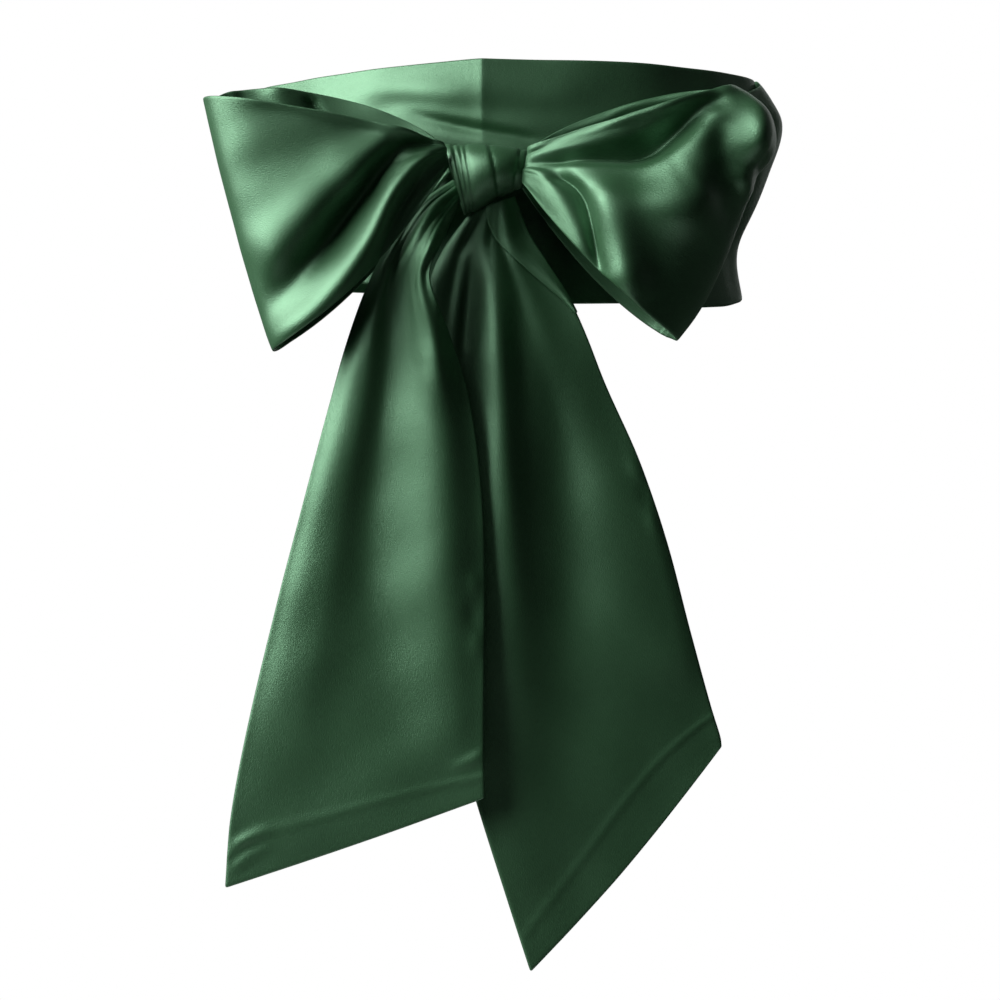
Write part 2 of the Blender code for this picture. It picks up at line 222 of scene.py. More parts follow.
def satin(name, seed):
    """Polyester satin: bottle green, with a broad silky gloss, fine floating threads and a slightly uneven
    dye. The seed moves its pattern, so that the two satins don't repeat each other."""
    material = bpy.data.materials.new(name)
    material.use_nodes = True
    nodes, links = material.node_tree.nodes, material.node_tree.links
    shader = nodes["Principled BSDF"]
    shader.inputs["Metallic"].default_value = 0.0
    shader.inputs["IOR"].default_value = 1.65
    shader.inputs["Specular IOR Level"].default_value = 1.0
    shader.inputs["Specular Tint"].default_value = (0.53, 1.0, 0.64, 1.0)
    shader.inputs["Anisotropic"].default_value = 0.35
    shader.inputs["Sheen Weight"].default_value = 0.04
    shader.inputs["Sheen Roughness"].default_value = 0.45
    shader.inputs["Sheen Tint"].default_value = (0.55, 0.95, 0.66, 1.0)

    strip = nodes.new("ShaderNodeUVMap")
    strip.uv_map = "Strip"
    lengthwise = nodes.new("ShaderNodeTangent")
    lengthwise.direction_type = "UV_MAP"
    lengthwise.uv_map = "Strip"
    links.new(lengthwise.outputs["Tangent"], shader.inputs["Tangent"])
    place = nodes.new("ShaderNodeMapping")
    place.inputs["Location"].default_value = (seed * 3.1, seed * 1.7, 0.0)
    links.new(strip.outputs["UV"], place.inputs["Vector"])

    # Floating threads, 2.4 mm long and 0.4 mm wide, that run along the strip.
    threads = nodes.new("ShaderNodeMapping")
    threads.inputs["Scale"].default_value = (420.0, 2600.0, 1.0)
    links.new(place.outputs["Vector"], threads.inputs["Vector"])
    floats = nodes.new("ShaderNodeTexNoise")
    floats.inputs["Scale"].default_value = 1.0
    floats.inputs["Detail"].default_value = 2.0
    links.new(threads.outputs["Vector"], floats.inputs["Vector"])

    # A grain 0.7 mm wide, and clouds of uneven dye 45 mm wide.
    grain = nodes.new("ShaderNodeTexNoise")
    grain.inputs["Scale"].default_value = 1400.0
    grain.inputs["Detail"].default_value = 3.0
    links.new(place.outputs["Vector"], grain.inputs["Vector"])

    dye = nodes.new("ShaderNodeTexNoise")
    dye.inputs["Scale"].default_value = 22.0
    dye.inputs["Detail"].default_value = 3.0
    links.new(place.outputs["Vector"], dye.inputs["Vector"])

    colour = nodes.new("ShaderNodeMix")
    colour.data_type = "RGBA"
    colour.inputs["A"].default_value = (0.0135, 0.046, 0.0180, 1.0)
    colour.inputs["B"].default_value = (0.0205, 0.068, 0.0265, 1.0)
    links.new(dye.outputs["Fac"], colour.inputs["Factor"])
    speck = nodes.new("ShaderNodeMix")
    speck.data_type = "RGBA"
    speck.blend_type = "OVERLAY"
    speck.inputs["Factor"].default_value = 0.60
    links.new(colour.outputs["Result"], speck.inputs["A"])
    links.new(floats.outputs["Fac"], speck.inputs["B"])
    links.new(speck.outputs["Result"], shader.inputs["Base Color"])

    gloss = nodes.new("ShaderNodeMapRange")
    gloss.inputs["To Min"].default_value = 0.38
    gloss.inputs["To Max"].default_value = 0.52
    links.new(grain.outputs["Fac"], gloss.inputs["Value"])
    links.new(gloss.outputs["Result"], shader.inputs["Roughness"])

    # The weave's relief, over the faint crinkles that handling leaves, about 14 mm wide.
    relief = nodes.new("ShaderNodeMath")
    relief.operation = "ADD"
    links.new(floats.outputs["Fac"], relief.inputs[0])
    links.new(grain.outputs["Fac"], relief.inputs[1])
    weave = nodes.new("ShaderNodeBump")
    weave.inputs["Strength"].default_value = 0.4
    weave.inputs["Distance"].default_value = 0.0003
    links.new(relief.outputs["Value"], weave.inputs["Height"])
    handling = nodes.new("ShaderNodeTexNoise")
    handling.inputs["Scale"].default_value = 70.0
    handling.inputs["Detail"].default_value = 3.0
    links.new(place.outputs["Vector"], handling.inputs["Vector"])
    creases = nodes.new("ShaderNodeBump")
    creases.inputs["Strength"].default_value = 0.12
    creases.inputs["Distance"].default_value = 0.0010
    links.new(handling.outputs["Fac"], creases.inputs["Height"])
    links.new(weave.outputs["Normal"], creases.inputs["Normal"])
    links.new(creases.outputs["Normal"], shader.inputs["Normal"])
    return material


# A fold's line: its points, half widths to the left and right of the way it runs, and how far it rises.
LINE = "x z left right rise"
BAND_FOLDS = {
    "crease above the knot": table(
        LINE,
        (-60, 31, 3, 4, 0),
        (-44, 26, 2.6, 4, -1.6),
        (-26, 21.5, 2.4, 4, -3.2),
        (-12, 18.5, 2.4, 4, -3.2),
        (10, 14.5, 2.6, 4, -2.4),
        (28, 10, 3, 4, 0),
    ),
    "upper streak": table(
        LINE,
        (-110, 38, 6, 6, 0),
        (-70, 42, 7, 6, 1.3),
        (-30, 37, 7, 6, 1.1),
        (-8, 33, 6, 6, 0),
    ),
    "lower streak": table(
        LINE,
        (-95, 22, 6, 6, 0),
        (-60, 33, 6, 6, -1.2),
        (-25, 30, 6, 6, -1.0),
        (20, 27, 6, 6, -0.7),
        (45, 25, 6, 6, 0),
    ),
    "streak right of the seam": table(
        LINE,
        (0, 40, 8, 8, 0),
        (30, 36, 9, 9, 1.0),
        (60, 40, 9, 9, 0),
    ),
}
SEAM_RISE = 10.0                # the seam stands forward, as the knot pulls the cloth down beside it
SEAM_SPREAD = 40.0              # the rise dies away over this length to both sides
GROOVE = 0.05                   # the stitches pull a fine groove along the seam
GROOVE_WIDTH = 0.9
BAND_LEAN = 8.0                 # the upper edge lies further back, left of the knot
BAND_UNEVENNESS = 0.5
HALF_BREADTH = 135.0            # of the ring, to turn angles into lengths
DEGREE = 2.3                    # the length of a degree round the ring, roughly


def band(angle, across):
    """Points of the band. What the knot does to it shows in front only."""
    edges = read(BAND_EDGES, angle)
    height = edges["bottom"] + (edges["top"] - edges["bottom"]) * across
    points = ring(INNER_LAYER, WAIST_DEPTH, angle, height)
    x, z = points[:, 0], points[:, 2]
    front = ease(-20, -60, points[:, 1])
    lift = sum(fold(x, z, line) for line in BAND_FOLDS.values()) * front
    off = np.radians(np.abs(angle - SEAM_ANGLE)) * HALF_BREADTH
    above_knot = ease(-10, 45, z)
    lift = lift + SEAM_RISE * np.exp(-off / SEAM_SPREAD) * above_knot * front
    lift = lift - GROOVE * np.exp(-((off / GROOVE_WIDTH) ** 2))
    lift = lift + BAND_UNEVENNESS * unevenness(angle * DEGREE, height, 38, 1)
    leaning = ease(-10, 70, z) * ease(70, -10, x)
    lift = lift - BAND_LEAN * leaning * front
    return push_out(points, angle, lift)


HALF_RING = 0.368               # from the seam to the middle of the back, in metres
SEAM_LAP = math.degrees(0.6 / WAIST_DEPTH)      # each half runs on past the seam and the middle of the back
CROWDING = 1.5                  # the grid's columns lie closer near the seam, where the folds are

band_satin = satin("satin_band", 1)
for name, first, last in (
    ("band_left", SEAM_ANGLE + SEAM_LAP, -180 - SEAM_LAP),
    ("band_right", SEAM_ANGLE - SEAM_LAP, 180 + SEAM_LAP),
):
    piece = cloth(
        name + "_satin",
        columns=110,
        rows=60,
        shape=lambda along, across: band(first + (last - first) * along**CROWDING, across),
        length=HALF_RING,
    )
    piece.data.materials.append(band_satin)
    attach(piece, "root")
    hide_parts(name)

# ---------------------------------------------------------------------------
# The second turn. Past the crossing behind the wearer each end of the strip comes back to the front over
# the band, narrowing as it is drawn down under the knot. It is the same satin, held by its own tension.
# ---------------------------------------------------------------------------
# Half breadth of the second turn, by height above the band's middle, left and right.
OUTER_LAYER = table(
    "height left right",
    (-70, 131, 132),
    (-51, 130, 129.6),
    (-37, 130.2, 130),
    (-26, 132, 133),
    (5, 137, 147),
    (33, 141, 154),
    (48, 140, 148.5),
    (57, 139.5, 142),
    (64, 139, 138.5),
)
# Heights of its long edges and how far it stands off the band, by angle round from the back.
TURN_EDGES = table(
    "angle top bottom forward",
    (-168, 9, -12, 4),
    (-162, 14, -22, 3),
    (-153, 22, -36, 1.5),
    (-140, 34, -51, 0.5),
    (-124, 43, -54, 0),
    (-100, 50, -54, 0),
    (-60, 57, -55, 0),
    (0, 60, -60, 0),
    (60, 59.5, -63, 0),
    (90, 58, -64, 0),
    (104, 53.4, -66, 0),
    (120, 47, -68, 0),
    (140, 36, -66, 0.5),
    (152, 26, -54, 1.5),
    (162, 17, -34, 3),
    (174, 7, -8, 4),
)
TURN_LENGTH = 0.75              # from the knot round the back to the knot, in metres
TURN_CLEARANCE = 1.5            # from the middle of one layer to the middle of the next
TURN_PLEATS = 1.2
TURN_RIPPLES = 0.6
TURN_UNEVENNESS = 0.4


def second_turn(along, across):
    """Points of the second turn, whose two ends are at the knot. It is pleated where it is drawn together
    there, and rippled a little round the back."""
    first, last = TURN_EDGES["angle"][0], TURN_EDGES["angle"][-1]
    angle = first + (last - first) * along
    edges = read(TURN_EDGES, angle)
    height = edges["bottom"] + (edges["top"] - edges["bottom"]) * across
    around = np.where(angle > 0, 180 - angle, -180 - angle)
    points = ring(OUTER_LAYER, WAIST_DEPTH + TURN_CLEARANCE + edges["forward"], around, height)
    drawn = ease(60, 150, np.abs(angle))
    pleats = TURN_PLEATS * np.sin(across * 17 + 1.0) * drawn
    ripples = TURN_RIPPLES * np.sin(across * 9 + 0.02 * angle) * (1 - drawn)
    lift = pleats + ripples + TURN_UNEVENNESS * unevenness(angle * DEGREE, height, 42, 2)
    return push_out(points, around, lift)


piece = cloth("second_turn_satin", columns=170, rows=34, shape=second_turn, length=TURN_LENGTH)
piece.data.materials.append(band_satin)
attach(piece, "root")
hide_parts("wrap_outer")

# ---------------------------------------------------------------------------
# The bow's two loops. Each is a stretch of the strip bunched at the knot, led out to a soft fold and back
# behind itself, so it stands open above and below. Nothing stiffens it: the bunched cloth at the knot sends
# folds out over its face, and the double satin is full enough to hold them.
# ---------------------------------------------------------------------------
# A loop's cloth as spokes, from its lower hem at 0 to its upper hem at 1: where a spoke leaves the knot,
# where it folds over, how far it bows up on its way, and how much more it does so on its way back behind.
SPOKES = "across root_x root_z fold_x fold_z rise back"
LEFT_SPOKES = table(
    SPOKES,
    (0.00, -28.6, -6.6, -116.5, -99.0, -13, 5),
    (0.10, -28.9, -5.6, -121.5, -86.5, -10, 4),
    (0.25, -29.4, -3.4, -128, -66.0, -6, 2),
    (0.50, -30.3, 0.0, -137, -33.5, -1, 3),
    (0.75, -31.1, 2.8, -145, -2.5, 2, 8),
    (1.00, -31.9, 5.6, -152.2, 28.5, 1.5, 16),
)
RIGHT_SPOKES = table(
    SPOKES,
    (0.00, 8.5, -14.6, 87, -93.5, -9, 1),
    (0.06, 8.8, -13.6, 96, -82.0, -8, 1),
    (0.17, 9.1, -12.0, 105, -66.8, -6, 1),
    (0.34, 9.6, -9.2, 114.5, -44.3, -3, 0),
    (0.50, 10.0, -6.4, 122, -22.5, 0, 0),
    (0.62, 10.3, -4.2, 124.5, -9.0, 1, 0),
    (0.74, 10.7, -2.0, 132, 3.0, 2, 2),
    (0.86, 11.1, 0.6, 131, 19.0, 1.8, 7),
    (0.94, 11.4, 2.4, 123, 29.0, 0.4, 10.5),
    (1.00, 11.7, 3.6, 116, 34.0, -1.2, 13),
)
# How far forward a loop lies: from the knot at 0, over its outer fold at 1, back to the knot at 2.
LEFT_DEPTH = table(
    "turn depth",
    (0.00, -130),
    (0.20, -137),
    (0.35, -142.5),
    (0.50, -147.5),
    (0.70, -148.5),
    (0.85, -141.5),
    (1.00, -127),
    (1.15, -113),
    (1.30, -105),
    (1.50, -101),
    (1.70, -103),
    (1.85, -107),
    (2.00, -112),
)
RIGHT_DEPTH = table(
    "turn depth",
    (0.00, -130),
    (0.20, -139),
    (0.35, -147),
    (0.50, -153),
    (0.70, -155),
    (0.85, -144),
    (1.00, -123),
    (1.15, -107),
    (1.30, -100),
    (1.50, -99),
    (1.70, -102),
    (1.85, -106),
    (2.00, -112),
)
LEFT_FACE = {
    "shoulder": table(
        LINE,
        (-42, 10, 4, 5, 1),
        (-55, 5, 6, 8, 5),
        (-72, -8, 8, 11, 6),
        (-88, -21, 9, 13, 6.5),
        (-100, -36, 9, 15, 6),
        (-113, -52, 10, 16, 4),
        (-128, -70, 12, 13, 0),
    ),
    "deep trough": table(
        LINE,
        (-38, 5, 3, 3, -2),
        (-52, 3, 4, 5, -5),
        (-63, -9, 5, 6, -7),
        (-70.5, -20.5, 6.5, 5.5, -9),
        (-81, -34, 7, 6.5, -9.5),
        (-93, -50, 8, 7, -8),
        (-108, -66, 8, 9, -4.5),
        (-120, -80, 8, 10, -1.5),
        (-128, -88, 8, 9, 0),
    ),
    "long roll": table(
        LINE,
        (-33, 2, 2.5, 2.5, 2),
        (-40, -2, 3, 4, 5),
        (-50, -12, 3.5, 5, 7.5),
        (-59.5, -26.5, 4.5, 6, 8.2),
        (-68.5, -47.5, 5.5, 7, 8.8),
        (-79, -65, 5.5, 9, 9),
        (-94, -82, 6, 9, 7.5),
        (-112, -94, 7, 8, 4.5),
        (-122, -101, 7, 8, 3),
    ),
    "crease by the roll": table(
        LINE,
        (-38, -4, 1.5, 1.5, 0),
        (-46, -18, 2.5, 2, -2),
        (-55, -33, 3, 2.5, -3),
        (-62, -47, 3.5, 3, -3),
        (-69, -60, 3, 3, 0),
    ),
    "rolled hem": table(
        LINE,
        (-148, 27, 6, 6, 0),
        (-120, 25, 7, 4, 2),
        (-95, 21, 7, 4, 3),
        (-70, 15, 6, 4, 4),
        (-50, 9.5, 4, 3, 3.5),
        (-36, 6, 3, 2.5, 1),
    ),
}
LEFT_BACK = {
    "inner puff": table(
        LINE,
        (-117, 34, 12, 9, 6),
        (-113, 22, 12, 9, 6),
        (-107, 0, 12, 9, 4),
        (-99, -30, 10, 10, 0),
    ),
    "inner crease": table(
        LINE,
        (-100, 31, 2.5, 3, -4),
        (-95, 21, 3, 4, -4),
        (-87, 5, 5, 6, -2),
        (-79, -15, 7, 8, 0),
    ),
}
RIGHT_FACE = {
    "rolled hem": table(
        LINE,
        (14, 2.2, 2, 2, 0.5),
        (38, 8.6, 2.2, 2.2, 1.6),
        (64, 15.8, 2.4, 2.4, 2),
        (90, 23.7, 2.4, 2.4, 2),
        (112, 30.8, 2.4, 2.4, 1.4),
    ),
    "hem facet": table(
        LINE,
        (14, -1, 3, 2, 0.8),
        (30, 1.5, 4, 2.5, 1.8),
        (47, 4.5, 7, 4, 2),
        (66, 9, 8, 4, 2),
        (88, 19, 7, 4, 1.8),
        (106, 28, 6, 5, 0),
    ),
    "crease under the hem": table(
        LINE,
        (12, 0, 1.5, 1.5, -1),
        (28, 6, 2, 1.8, -1.6),
        (45, 11, 2.5, 2, -1.4),
        (62, 16, 3, 2.5, 0),
    ),
    "deep trough": table(
        LINE,
        (14, -5, 2.5, 2, -1),
        (27, -5.5, 3.5, 2.5, -4),
        (40, -5, 5, 2.8, -8),
        (52, -4.5, 7, 3.2, -11),
        (64, -4, 9, 4, -13),
        (74, 0, 9, 5, -13),
        (84, 8, 8, 6, -11),
        (93, 17, 8, 7, -9),
        (104, 25, 7, 7, -5),
        (113, 31, 7, 7, 0),
    ),
    "billow": table(
        LINE,
        (40, -18, 6, 10, 0),
        (52, -25, 10, 14, 5),
        (64, -31, 14, 16, 8),
        (76, -33, 16, 18, 9),
        (88, -31, 16, 18, 8),
        (98, -26, 14, 18, 4),
        (106, -21, 12, 14, 0),
    ),
    "billow's shoulder": table(
        LINE,
        (80, -52, 16, 12, 0),
        (86, -34, 20, 14, 4),
        (91, -18, 16, 17, 6),
        (95, -5, 12, 18, 5.5),
        (99, 5, 9, 16, 4),
        (104, 14, 8, 12, 2),
        (109, 21, 7, 8, 0),
    ),
    "lower side": table(
        LINE,
        (124, -14, 10, 14, 0),
        (117, -35, 10, 20, -6),
        (107, -60, 10, 24, -10),
        (95, -86, 10, 22, -10),
    ),
    "outer lip": table(
        LINE,
        (125, 36, 4, 9, 4),
        (130, 22, 5, 12, 13),
        (131.5, 8, 6, 14, 19),
        (129.5, -6, 7, 14, 17),
        (127, -18, 8, 13, 12),
        (123, -30, 8, 10, 0),
    ),
    "side roll": table(
        LINE,
        (24, -5, 4, 4, 0),
        (34, -10, 9, 5, 4),
        (43, -18, 12, 7, 6.5),
        (50.5, -29, 13, 9, 8.5),
        (55, -42, 12, 11, 10.5),
        (58, -55, 11, 12, 12),
        (60.5, -67, 10, 11, 12),
        (62, -79, 9, 6, 4.5),
        (71, -92, 8, 8, 0),
    ),
    "side trough": table(
        LINE,
        (19, -10, 2.2, 2, 0),
        (27, -14, 2.5, 2.2, -3),
        (34.5, -19, 2.8, 2.4, -4),
        (40, -27, 2.8, 2.4, -5),
        (43, -38, 2.8, 2.4, -5),
        (45, -50, 2.8, 2.4, -4.5),
        (47.5, -62, 2.6, 2.2, -3),
        (51, -72, 2.6, 2.5, 0),
    ),
    "small puff": table(
        LINE,
        (12, -9, 2, 4, 1),
        (19, -13, 3, 6, 3.5),
        (25.5, -20, 5, 9, 6),
        (31, -29, 6, 10, 7),
        (35, -39, 6, 10, 6.5),
        (38.5, -50, 5, 8, 4.5),
        (42, -62, 4, 6, 0),
    ),
    "outer dip": table(
        LINE,
        (105, 20, 6, 6, 0),
        (106, 11, 7, 7, -3.5),
        (106, 1, 8, 7, -5.5),
        (107, -8, 9, 7, -4.5),
        (106, -20, 9, 9, -2),
        (105, -30, 9, 9, 0),
    ),
}
RIGHT_BACK = {
    "rolled hem": table(
        LINE,
        (30, 15.2, 2.2, 2.2, 0.5),
        (50, 22, 2.4, 2.4, 1.8),
        (64, 28.6, 2.4, 2.4, 2),
        (90, 34, 2.4, 2.4, 2),
        (108, 37, 2.4, 2.4, 1),
    ),
    "long roll": table(
        LINE,
        (14, -4, 5, 5, 0),
        (50, -14, 10, 10, -4),
        (85, -26, 12, 12, -4),
        (112, -34, 12, 12, 0),
    ),
}


GATHER_REACH = 0.14             # the pleats die away over this share of the way from the knot


def gathers(across, away, count, seed):
    """Fine uneven pleats that fan out from the knot and die away, about 1 high."""
    drift = across + 0.035 * np.sin(across * 11 + seed * 2.0)
    pleat = np.sin(2 * math.pi * count * drift + seed)
    pleat = pleat + 0.5 * np.sin(3.4 * math.pi * count * drift + 2.3 * seed)
    return pleat * ease(-0.01, 0.05, away) * np.exp(-away / GATHER_REACH)


def spokes_of(spokes, depths, turn, across):
    """A loop without its folds: out from the knot along a spoke, over the outer fold and back behind."""
    spoke = read(spokes, across)
    out = (1 - np.cos(np.pi * turn)) / 2
    arch = np.maximum(4 * out * (1 - out), 0.0)
    rise = spoke["rise"] * arch + spoke["back"] * ease(1.0, 1.2, turn) * arch**0.6
    x = spoke["root_x"] + (spoke["fold_x"] - spoke["root_x"]) * out
    z = spoke["root_z"] + (spoke["fold_z"] - spoke["root_z"]) * out + rise
    return np.stack([x, read(depths, turn)["depth"], z], axis=1)


NORMAL_STEP = 0.008             # how far apart the points are that give the cloth's direction
LOOP_GATHERS = 0.45             # how high its pleats and its unevenness are
LOOP_UNEVENNESS = 0.45
BACK_SHIFT = 90                 # moves the unevenness behind, so that it doesn't repeat the front's


def loop(spokes, depths, face, back, seed):
    """The shape of a loop. Its folds rise along the cloth's own outward normal, except by the outer fold,
    where the face's folds rise straight to the front."""

    def shape(along, across):
        turn = 2 * along
        base = spokes_of(spokes, depths, turn, across)
        ahead = spokes_of(spokes, depths, turn + NORMAL_STEP, across)
        astern = spokes_of(spokes, depths, turn - NORMAL_STEP, across)
        above = spokes_of(spokes, depths, turn, np.clip(across + NORMAL_STEP, 0, 1))
        below = spokes_of(spokes, depths, turn, np.clip(across - NORMAL_STEP, 0, 1))
        outward = np.cross(ahead - astern, above - below)
        outward /= np.linalg.norm(outward, axis=1)[:, None]
        if spokes["fold_x"][0] < 0:
            outward = -outward
        x, z = base[:, 0], base[:, 2]
        before = 1 - ease(0.95, 1.2, turn)
        behind = ease(1.05, 1.3, turn)
        forward = ease(0.55, 0.85, turn) * before
        outward[:, 0] *= 1 - forward
        outward[:, 1] = outward[:, 1] * (1 - forward) - forward
        outward[:, 2] *= 1 - forward
        lift = sum(fold(x, z, line) for line in face.values()) * before
        lift = lift - sum(fold(x, z, line) for line in back.values()) * behind
        away = (1 - np.cos(np.pi * turn)) / 2
        lift = lift + LOOP_GATHERS * gathers(across, away, count=4, seed=seed)
        loose = ease(0.0, 0.3, np.minimum(turn, 2 - turn))
        lift = lift + LOOP_UNEVENNESS * loose * unevenness(x + BACK_SHIFT * behind, z, 30, seed)
        return base + outward * lift[:, None]

    return shape


LOOP_LENGTH = 0.272             # from the knot out to the fold and back, in metres

bow_satin = satin("satin_bow", 2)
for name, spokes, depths, face, back, seed in (
    ("loop_left", LEFT_SPOKES, LEFT_DEPTH, LEFT_FACE, LEFT_BACK, 3),
    ("loop_right", RIGHT_SPOKES, RIGHT_DEPTH, RIGHT_FACE, RIGHT_BACK, 4),
):
    shape = loop(spokes, depths, face, back, seed)
    piece = cloth(name + "_satin", columns=150, rows=70, shape=shape, length=LOOP_LENGTH)
    piece.data.materials.append(bow_satin)
    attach(piece, "root")
    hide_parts(name)

# ---------------------------------------------------------------------------
# The two tails, the strip's ends below the knot. The left one is on top. Each end is cut on a slant and
# closed with its raw edges turned in, which shows as a faint ridge a finger's breadth inside the cut. The
# tails hang free, so the folds that start at the knot widen and fade on the way down.
# ---------------------------------------------------------------------------
# A tail's cloth from the knot at 0 to its end at 1: its two long edges, its depth, and how far its middle
# stands forward of them.
SECTIONS = "down left_x left_z right_x right_z depth round"
LEFT_TAIL = table(
    SECTIONS,
    (0.00, -26.2, -10.5, -22.8, -21.5, -116, 4),
    (0.05, -44, -24, -27.5, -33, -124, 8),
    (0.11, -58, -44, -32.5, -47, -130, 8),
    (0.18, -69.5, -66, -37.5, -64, -132, 6),
    (0.26, -79.5, -93, -28, -91, -132, 4),
    (0.36, -88.5, -124, -18, -124, -132, 2),
    (0.50, -102, -174, -12, -168, -130, 0),
    (0.64, -115.5, -225, -10.4, -212, -128, 0),
    (0.80, -130, -285, -10.6, -262, -126, 0),
    (0.92, -139.5, -335, -10.8, -300, -125, 0),
    (1.00, -142.4, -371.0, -10.4, -324.5, -124, 0),
)
RIGHT_TAIL = table(
    SECTIONS,
    (0.00, -19.0, -28.6, 4.5, -18.6, -114, 3),
    (0.05, -32, -46, 12, -37, -111, 3),
    (0.11, -39, -64, 22, -54, -115, 2),
    (0.17, -40, -88, 33, -72, -118, 2),
    (0.22, -38, -106, 41, -89.5, -120, 1),
    (0.30, -33, -134, 51, -114.5, -120, 0),
    (0.40, -32, -172, 68, -152.5, -119, 0),
    (0.52, -32, -218, 83, -196, -116, 0),
    (0.65, -30.5, -264, 95, -241, -113, 0),
    (0.80, -18, -318, 106, -280, -109, 0),
    (0.92, 1.0, -379, 110.8, -295.5, -108, 0),
    (1.00, 12.7, -415, 111.6, -301, -108, 0),
)
LEFT_TAIL_FOLDS = {
    "outer swell": table(
        LINE,
        (-60, -60, 5, 8, 1),
        (-67, -96, 7, 12, 3),
        (-72, -124, 8, 15, 3),
        (-83, -174, 10, 17, 2.4),
        (-92, -224, 12, 18, 2.2),
        (-103, -275, 14, 18, 2),
        (-114, -330, 14, 16, 0),
    ),
    "broad trough": table(
        LINE,
        (-48, -40, 5, 5, 0),
        (-54, -68, 8, 7, -2.5),
        (-58, -98, 11, 8, -3.5),
        (-62, -134, 14, 10, -4),
        (-67, -174, 17, 13, -4),
        (-67, -214, 18, 15, -3.5),
        (-64, -250, 18, 18, -2.5),
        (-55, -290, 18, 20, -1),
        (-50, -320, 18, 20, 0),
    ),
    "inner swell": table(
        LINE,
        (-34, -80, 8, 9, 0),
        (-34, -104, 10, 10, 4),
        (-33, -124, 13, 13, 6),
        (-31, -154, 15, 16, 6.3),
        (-29, -194, 15, 18, 5.4),
        (-27, -240, 15, 19, 4),
        (-26, -285, 11, 18, 2),
        (-26, -320, 11, 18, 0),
    ),
    "roll at the knot": table(
        LINE,
        (-26, -8, 3, 3, 2),
        (-30, -14, 4, 4, 6),
        (-33.5, -27, 4.5, 7, 10.5),
        (-35, -42, 5, 10.5, 13.5),
        (-35.5, -60, 5.5, 13, 14),
        (-35, -84, 6, 13.5, 10.5),
        (-34, -110, 8, 12, 5),
        (-32, -140, 8, 10, 0),
    ),
    "soft fold behind the loop": table(
        LINE,
        (-48, -28, 3, 3, 0),
        (-55, -44, 3, 3.5, 3),
        (-62, -66, 4, 4.5, 3.5),
        (-68, -96, 6, 6, 1.5),
        (-72, -124, 7, 7, 0),
    ),
    "pucker at the outer corner": table(
        LINE,
        (-142, -352, 2, 2.5, 0),
        (-134, -347, 2.2, 3, 1.3),
        (-124, -342, 2.5, 4, 0.9),
        (-112, -339, 3, 4, 0),
    ),
    "second pucker at the outer corner": table(
        LINE,
        (-142, -364, 2, 2.5, 0),
        (-135, -358, 2, 2.5, 1.1),
        (-124, -351, 2.2, 3, 0.7),
        (-110, -347, 3, 3, 0),
    ),
    "pucker at the inner corner": table(
        LINE,
        (-32, -308, 2.5, 3, 0),
        (-22, -307, 2.5, 3, 0.9),
        (-14, -303, 2.5, 3, 1.1),
        (-10, -298, 3, 3, 0),
    ),
    "small dents by the inner edge": table(
        LINE,
        (-20, -206, 3, 4, 0),
        (-15, -216, 3, 4, 1.0),
        (-17, -232, 3, 4, -0.8),
        (-14, -246, 3, 4, 1.0),
        (-16, -262, 3, 4, 0),
    ),
}
RIGHT_TAIL_FOLDS = {
    "hollow under the left tail": table(
        LINE,
        (-20, -40, 6, 12, 0),
        (-22, -60, 7, 14, -5),
        (-24, -90, 7, 14, -5),
        (-24, -120, 7, 12, 0),
    ),
    "deep inner fold": table(
        LINE,
        (-18, -36, 2.5, 2.5, 0),
        (-21, -54, 3, 3, 3),
        (-24, -74, 3, 3, 3.5),
        (-26, -96, 3, 3, 2),
        (-27, -120, 3, 3, 0),
    ),
    "first fold": table(
        LINE,
        (-9, -32, 4, 4, 3),
        (-6.5, -50, 6, 7, 5),
        (-4, -72, 7, 9, 6.5),
        (-3, -99, 7, 10.5, 7.5),
        (-2, -124, 7.5, 11, 8),
        (-0.5, -149, 8, 11.5, 8),
        (1, -174, 9, 12, 7.5),
        (2, -200, 10, 12, 6),
        (4, -240, 12, 12, 4),
        (6, -300, 14, 14, 1.5),
        (8, -360, 14, 14, 0.5),
    ),
    "broad trough": table(
        LINE,
        (20, -80, 9, 9, 0),
        (26, -133, 12, 12, -3),
        (29, -174, 16, 14, -4),
        (32, -225, 20, 16, -4),
        (36, -290, 22, 18, -1),
        (42, -340, 18, 18, 0),
    ),
    "outer swell": table(
        LINE,
        (50, -120, 10, 14, 0),
        (68, -164, 8, 26, 3.5),
        (79, -205, 8, 30, 4),
        (89, -250, 10, 32, 3),
        (94, -290, 12, 30, 0),
    ),
    "edge pucker": table(
        LINE,
        (58, -146, 3, 3, 0),
        (66, -158, 3, 3, 0.8),
        (71, -171, 3, 3, -0.7),
        (75, -184, 3, 3, 0.8),
        (79, -200, 3, 3, 0),
    ),
}
# The ridges of the turned-in raw edges.
LEFT_HEM = table(
    LINE,
    (-143, -357, 1.6, 1.4, 0.6),
    (-129, -345, 1.6, 1.4, 0.6),
    (-89, -333, 1.8, 1.5, 0.5),
    (-53, -323, 1.8, 1.5, 0.5),
    (-18, -315, 1.6, 1.4, 0.6),
    (-8, -313, 1.6, 1.4, 0.6),
)
RIGHT_HEM = table(
    LINE,
    (10, -396, 1.6, 1.4, 0.5),
    (43, -353, 1.8, 1.5, 0.5),
    (61, -329, 1.8, 1.5, 0.5),
    (79, -308, 1.8, 1.5, 0.5),
    (97, -292, 1.6, 1.4, 0.5),
    (112, -282, 1.6, 1.4, 0.5),
)
LEFT_EDGE_DROP = 2.2            # a tail's left edge curls back by this, over this share of the width
LEFT_EDGE_WIDTH = 0.07
RIGHT_EDGE_WIDTH = 0.14
TAIL_UNEVENNESS = 0.35


